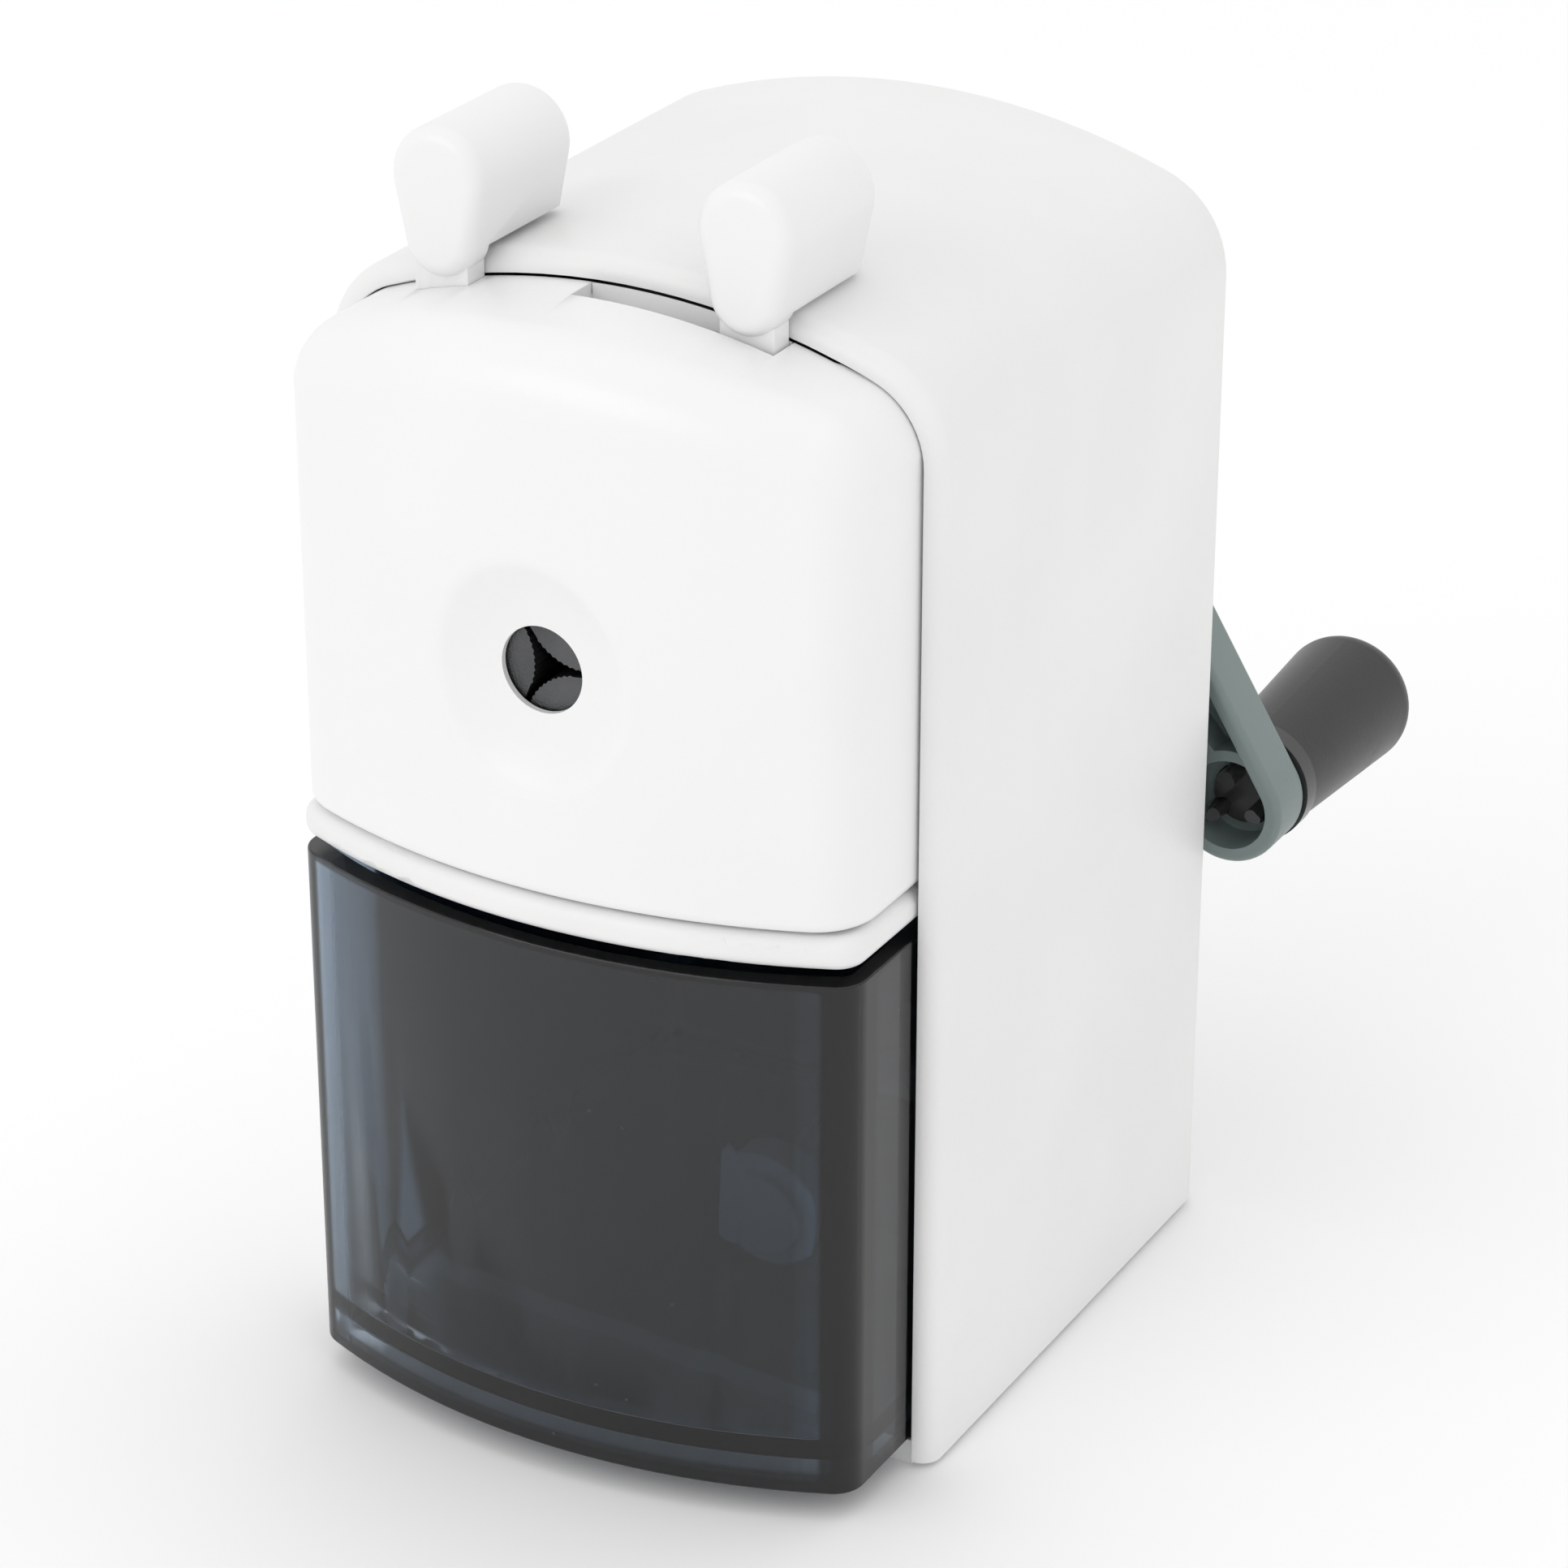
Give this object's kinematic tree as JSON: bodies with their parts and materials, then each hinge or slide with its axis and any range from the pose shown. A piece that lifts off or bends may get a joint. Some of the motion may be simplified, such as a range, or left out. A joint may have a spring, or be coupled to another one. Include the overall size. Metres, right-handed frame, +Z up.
{
  "type": "pencil sharpener",
  "caption": "Hand-cranked desk pencil sharpener: arched casing, bowed pull-out cover with pencil entry and pinch levers, smoke shavings drawer and rear crank.",
  "frame": {"origin": "centre of the casing's footprint, on the flat underside that rests on the desk", "axes": "+Z up; +Y towards the crank at the back, so the pencil enters from -Y; +X to the right seen from the front"},
  "size_m": [0.0719, 0.1113, 0.1261],
  "materials": {
    "casing_white": "smooth, slightly satin",
    "cover_white": "smooth, soft gloss",
    "lever_white": "smooth, soft gloss",
    "foot_rubber": "matte",
    "bush_nylon": "matte",
    "screw_steel": "plated",
    "gear_plastic": "matte",
    "yoke_alloy": "die cast",
    "cutter_steel": "ground",
    "arm_grey": "satin",
    "knob_charcoal": "satin",
    "bush_charcoal": "gloss",
    "plate_steel": "pressed sheet",
    "jaw_iron": "blackened, knurled noses",
    "drawer_smoke": "clear smoke",
    "clamp_iron": "black",
    "thumb_black": "satin"
  },
  "bodies": {
    "case": {"casing_shell": "casing_white", "base_plate": "casing_white", "rubber_feet": "foot_rubber", "inner_frame": "casing_white", "front_bush": "bush_nylon", "rear_bush": "bush_nylon", "guide_bushes": "bush_nylon", "frame_screws": "screw_steel", "base_screws": "screw_steel", "gear_screws": "screw_steel", "ring_gear": "gear_plastic", "return_spring_left": "screw_steel", "return_spring_right": "screw_steel"},
    "carriage": {"front_cover": "cover_white", "carrier_plate": "plate_steel", "cover_screws": "screw_steel", "guide_rod_left": "screw_steel", "guide_rod_right": "screw_steel", "rod_clips": "screw_steel", "jaw_pins": "screw_steel", "fixed_lever": "lever_white"},
    "release_lever": {"lever_ring": "lever_white", "slot_shield": "lever_white", "release_lever_head": "lever_white"},
    "jaw_upper": {"jaw_upper": "jaw_iron"},
    "jaw_side": {"jaw_side": "jaw_iron"},
    "jaw_lower": {"jaw_lower": "jaw_iron"},
    "crank": {"rotor_yoke": "yoke_alloy", "cutter_axle": "screw_steel", "crank_arm": "arm_grey", "crank_screw": "screw_steel"},
    "cutter": {"cutter_pinion": "cutter_steel", "helical_cutter": "cutter_steel"},
    "knob": {"knob_bush": "bush_charcoal", "knob_grip": "knob_charcoal"},
    "drawer": {"drawer_tray": "drawer_smoke", "clamp_bracket": "clamp_iron"},
    "clamp_slide": {"clamp_pad": "screw_steel"},
    "clamp_turn": {"clamp_screw": "screw_steel", "clamp_thumb_knob": "thumb_black"}
  },
  "joints": [
    {"name": "carriage_slide", "type": "slide", "parent": "case", "child": "carriage", "axis": [0, -1, 0], "range_m": [0, 0.03], "stiffness_N_per_m": 60, "springref_m": -0.01, "deforming": ["return_spring_left", "return_spring_right"]},
    {"name": "release_lever_turn", "type": "hinge", "parent": "carriage", "child": "release_lever", "pos_m": [0, -0.0308, 0.0823], "axis": [0, -1, 0], "range_deg": [0, 22], "stiffness_Nm_per_rad": 0.15, "springref_deg": -11.46},
    {"name": "jaw_upper_turn", "type": "hinge", "parent": "carriage", "child": "jaw_upper", "pos_m": [-0.00393, -0.037, 0.09311], "axis": [0, -1, 0], "range_deg": [0, 22]},
    {"name": "jaw_side_turn", "type": "hinge", "parent": "carriage", "child": "jaw_side", "pos_m": [-0.00739, -0.037, 0.07349], "axis": [0, -1, 0], "range_deg": [0, 22]},
    {"name": "jaw_lower_turn", "type": "hinge", "parent": "carriage", "child": "jaw_lower", "pos_m": [0.01132, -0.037, 0.0803], "axis": [0, -1, 0], "range_deg": [0, 22]},
    {"name": "crank_turn", "type": "hinge", "parent": "case", "child": "crank", "pos_m": [0, 0, 0.0823], "axis": [0, -1, 0], "continuous": true},
    {"name": "cutter_spin", "type": "hinge", "parent": "crank", "child": "cutter", "pos_m": [0, 0.0475, 0.0823], "axis": [0, -0.9848, 0.1736], "continuous": true},
    {"name": "knob_spin", "type": "hinge", "parent": "crank", "child": "knob", "pos_m": [0.0328, 0.045, 0.0442], "axis": [0, -1, 0], "continuous": true},
    {"name": "drawer_slide", "type": "slide", "parent": "case", "child": "drawer", "axis": [0, -1, 0], "range_m": [0, 0.055]},
    {"name": "clamp_travel", "type": "slide", "parent": "drawer", "child": "clamp_slide", "axis": [0, 1, 0], "range_m": [0, 0.006]},
    {"name": "clamp_screw_turn", "type": "hinge", "parent": "clamp_slide", "child": "clamp_turn", "pos_m": [0.0075, 0, 0.015], "axis": [0, 1, 0], "range_deg": [0, 2160]}
  ],
  "couplings": [
    {"joint": "jaw_upper_turn", "follows": "release_lever_turn", "ratio": 1},
    {"joint": "jaw_side_turn", "follows": "release_lever_turn", "ratio": 1},
    {"joint": "jaw_lower_turn", "follows": "release_lever_turn", "ratio": 1},
    {"joint": "cutter_spin", "follows": "crank_turn", "ratio": -3},
    {"joint": "clamp_screw_turn", "follows": "clamp_travel", "rad_per_m": 6283.2}
  ]
}
